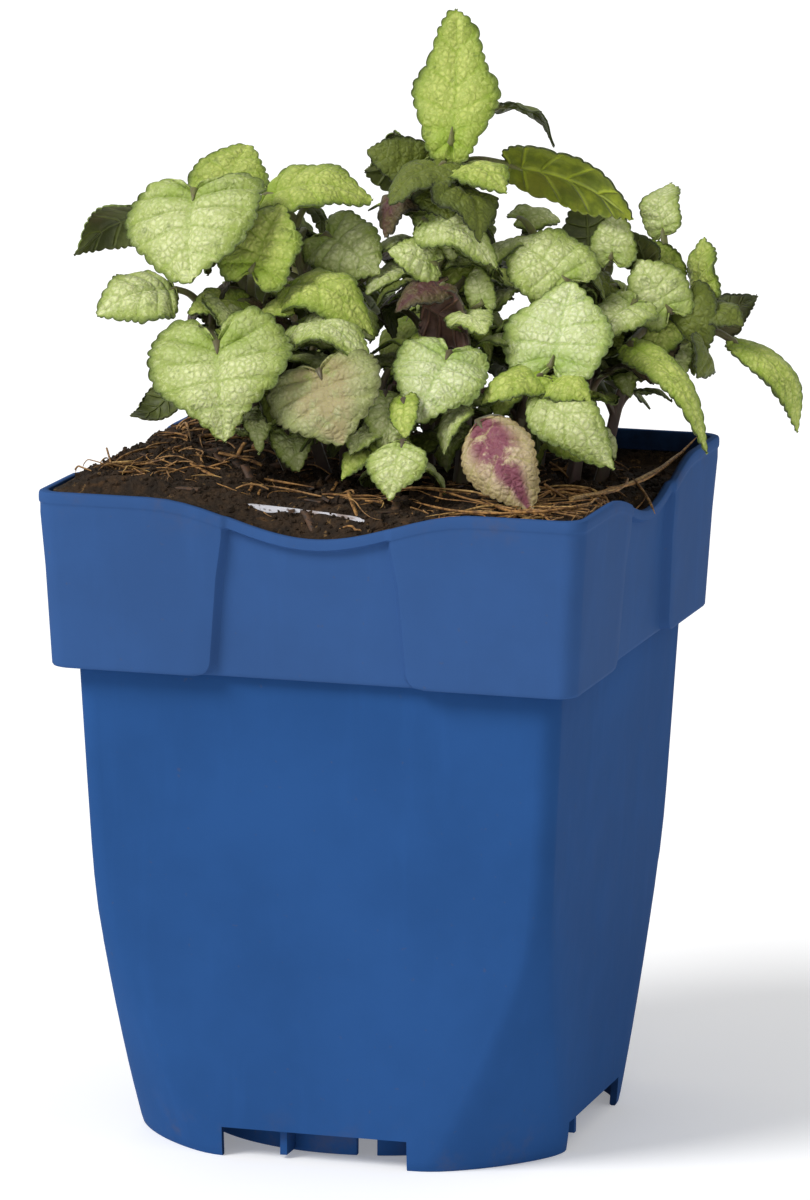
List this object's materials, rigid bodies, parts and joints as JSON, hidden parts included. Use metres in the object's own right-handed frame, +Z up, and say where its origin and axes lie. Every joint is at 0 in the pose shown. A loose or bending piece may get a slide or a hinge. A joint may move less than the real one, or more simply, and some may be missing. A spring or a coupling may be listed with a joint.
{
  "type": "potted dead nettle",
  "caption": "a young dead nettle in a square plastic nursery pot: variegated toothed leaves on short square stems over dark potting soil, with a bare label strip at the rim",
  "frame": {"origin": "the middle of the pot's underside, on the surface it stands on", "axes": "+Z is up, from the pot to the plant; +X is to the right of the side with the label strip, and that side faces -Y"},
  "size_m": [0.1433, 0.1113, 0.2221],
  "materials": {
    "pot": "satin",
    "soil": "matte",
    "label": "satin",
    "straw": "matte",
    "stem": "matte",
    "leaf": "matte"
  },
  "bodies": {
    "root": {"back_left_shoot": "stem", "back_mid_shoot": "stem", "back_right_shoot": "stem", "dry_stalk": "straw", "leaf_centre_arch": "leaf", "leaf_centre_pale": "leaf", "leaf_centre_purple": "leaf", "leaf_centre_sliver": "leaf", "leaf_far_dark": "leaf", "leaf_far_droop": "leaf", "leaf_far_near": "leaf", "leaf_far_pale": "leaf", "leaf_far_small": "leaf", "leaf_far_tall": "leaf", "leaf_far_top": "leaf", "leaf_far_under": "leaf", "leaf_front_brown": "leaf", "leaf_front_pink": "leaf", "leaf_front_small": "leaf", "leaf_left_back": "leaf", "leaf_left_crown": "leaf", "leaf_left_front": "leaf", "leaf_left_low": "leaf", "leaf_left_old": "leaf", "leaf_left_tip": "leaf", "leaf_left_upright": "leaf", "leaf_mid_arch": "leaf", "leaf_mid_saddle": "leaf", "leaf_mid_top": "leaf", "leaf_mid_upper": "leaf", "leaf_right_big": "leaf", "leaf_right_dark": "leaf", "leaf_right_inner": "leaf", "leaf_right_low": "leaf", "leaf_right_mid": "leaf", "leaf_right_nook": "leaf", "leaf_right_upper": "leaf", "leaf_top_edge": "leaf", "leaf_top_front": "leaf", "leaf_top_left": "leaf", "leaf_top_right": "leaf", "leaf_top_upright": "leaf", "plant_label": "label", "pot": "pot", "soil": "soil", "stem_centre": "stem", "stem_far": "stem", "stem_front": "stem", "stem_left_high": "stem", "stem_left_low": "stem", "stem_mid": "stem", "stem_right_back": "stem", "stem_right_front": "stem", "stem_top": "stem"}
  },
  "joints": []
}
